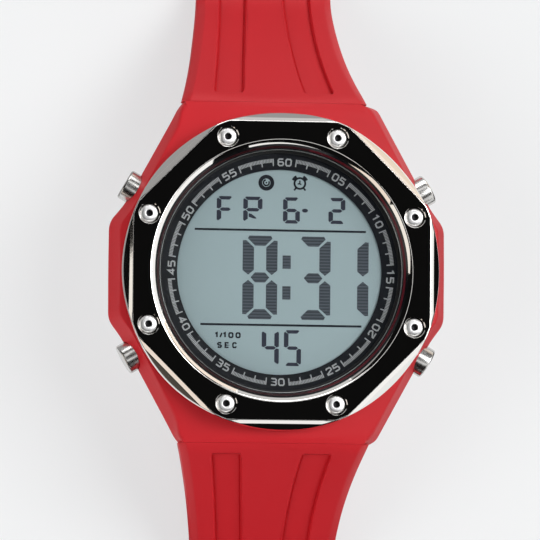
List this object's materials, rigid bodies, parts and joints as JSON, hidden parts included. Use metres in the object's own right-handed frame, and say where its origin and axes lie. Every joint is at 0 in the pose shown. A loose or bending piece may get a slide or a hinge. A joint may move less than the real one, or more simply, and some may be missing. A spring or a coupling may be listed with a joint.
{
  "type": "digital wrist watch",
  "caption": "Digital wrist watch with a round display, a screwed octagonal bezel, corner push buttons and a two-part buckled strap laid out flat.",
  "frame": {"origin": "centre of the case back's outer face", "axes": "+Z out of the dial, +Y towards 12 o'clock and the buckle, +X towards 3 o'clock"},
  "size_m": [0.05, 0.2468, 0.027],
  "materials": {
    "red_resin": "satin",
    "red_strap": "matte",
    "dark_mirror": "mirror black plating",
    "bright_steel": "polished",
    "satin_steel": "satin",
    "mineral_glass": "polished",
    "black_rubber": "matte",
    "grey_rubber": "matte",
    "black_resin": "matte",
    "display_film": "satin",
    "display_glass": "polished",
    "mirror_film": "satin",
    "clear_resin": "clear",
    "lamp_body": "gloss",
    "green_board": "satin",
    "gilt_brass": "satin"
  },
  "bodies": {
    "case": {"case_body": "red_resin", "bezel": "dark_mirror", "crystal": "mineral_glass", "case_back": "satin_steel", "crystal_gasket": "black_rubber", "minute_ring": "black_resin", "front_polariser": "display_film", "display_cell": "display_glass", "reflector": "mirror_film", "light_guide": "clear_resin", "light_lamp": "lamp_body", "contact_strips": "grey_rubber", "circuit_board": "green_board", "chip_cover": "black_resin", "button_contacts": "gilt_brass", "module_frame": "black_resin", "battery": "bright_steel", "battery_tray": "black_resin", "battery_clip": "satin_steel", "quartz_can": "satin_steel", "sounder_disc": "gilt_brass", "sounder_spring": "gilt_brass", "back_seal": "black_rubber", "back_screws": "bright_steel", "bezel_screws": "bright_steel", "strap_pin_upper": "satin_steel", "strap_pin_lower": "satin_steel", "button_spring_upper_right": "satin_steel", "button_spring_upper_left": "satin_steel", "button_spring_lower_left": "satin_steel", "button_spring_lower_right": "satin_steel"},
    "button_upper_right": {"button_upper_right": "bright_steel", "ring_clip_upper_right": "satin_steel", "button_seal_upper_right": "black_rubber"},
    "button_upper_left": {"button_upper_left": "bright_steel", "ring_clip_upper_left": "satin_steel", "button_seal_upper_left": "black_rubber"},
    "button_lower_left": {"button_lower_left": "bright_steel", "ring_clip_lower_left": "satin_steel", "button_seal_lower_left": "black_rubber"},
    "button_lower_right": {"button_lower_right": "bright_steel", "ring_clip_lower_right": "satin_steel", "button_seal_lower_right": "black_rubber"},
    "upper_strap": {"strap_upper": "red_strap", "fixed_keeper": "red_strap", "buckle_bar": "satin_steel"},
    "buckle_frame": {"buckle_frame": "satin_steel"},
    "buckle_tongue": {"buckle_tongue": "satin_steel"},
    "sliding_keeper": {"sliding_keeper": "red_strap"},
    "lower_strap": {"strap_lower": "red_strap"}
  },
  "joints": [
    {"name": "press_upper_right", "type": "slide", "parent": "case", "child": "button_upper_right", "axis": [-0.866, -0.5, 0], "range_m": [0, 0.0008], "stiffness_N_per_m": 900, "springref_m": -0.0006, "deforming": ["button_spring_upper_right"]},
    {"name": "press_upper_left", "type": "slide", "parent": "case", "child": "button_upper_left", "axis": [0.866, -0.5, 0], "range_m": [0, 0.0008], "stiffness_N_per_m": 900, "springref_m": -0.0006, "deforming": ["button_spring_upper_left"]},
    {"name": "press_lower_left", "type": "slide", "parent": "case", "child": "button_lower_left", "axis": [0.866, 0.5, 0], "range_m": [0, 0.0008], "stiffness_N_per_m": 900, "springref_m": -0.0006, "deforming": ["button_spring_lower_left"]},
    {"name": "press_lower_right", "type": "slide", "parent": "case", "child": "button_lower_right", "axis": [-0.866, 0.5, 0], "range_m": [0, 0.0008], "stiffness_N_per_m": 900, "springref_m": -0.0006, "deforming": ["button_spring_lower_right"]},
    {"name": "upper_strap_hinge", "type": "hinge", "parent": "case", "child": "upper_strap", "pos_m": [0, 0.0274, 0.004], "axis": [-1, 0, 0], "range_deg": [0, 60]},
    {"name": "lower_strap_hinge", "type": "hinge", "parent": "case", "child": "lower_strap", "pos_m": [0, -0.0274, 0.004], "axis": [1, 0, 0], "range_deg": [0, 60]},
    {"name": "buckle_hinge", "type": "hinge", "parent": "upper_strap", "child": "buckle_frame", "pos_m": [0, 0.096, -0.01145], "axis": [1, 0, 0], "range_deg": [-80, 45]},
    {"name": "tongue_hinge", "type": "hinge", "parent": "buckle_frame", "child": "buckle_tongue", "pos_m": [0, 0.096, -0.01145], "axis": [1, 0, 0], "range_deg": [0, 60]},
    {"name": "keeper_slide", "type": "slide", "parent": "upper_strap", "child": "sliding_keeper", "axis": [0, 1, 0], "range_m": [-0.008, 0.005]}
  ]
}
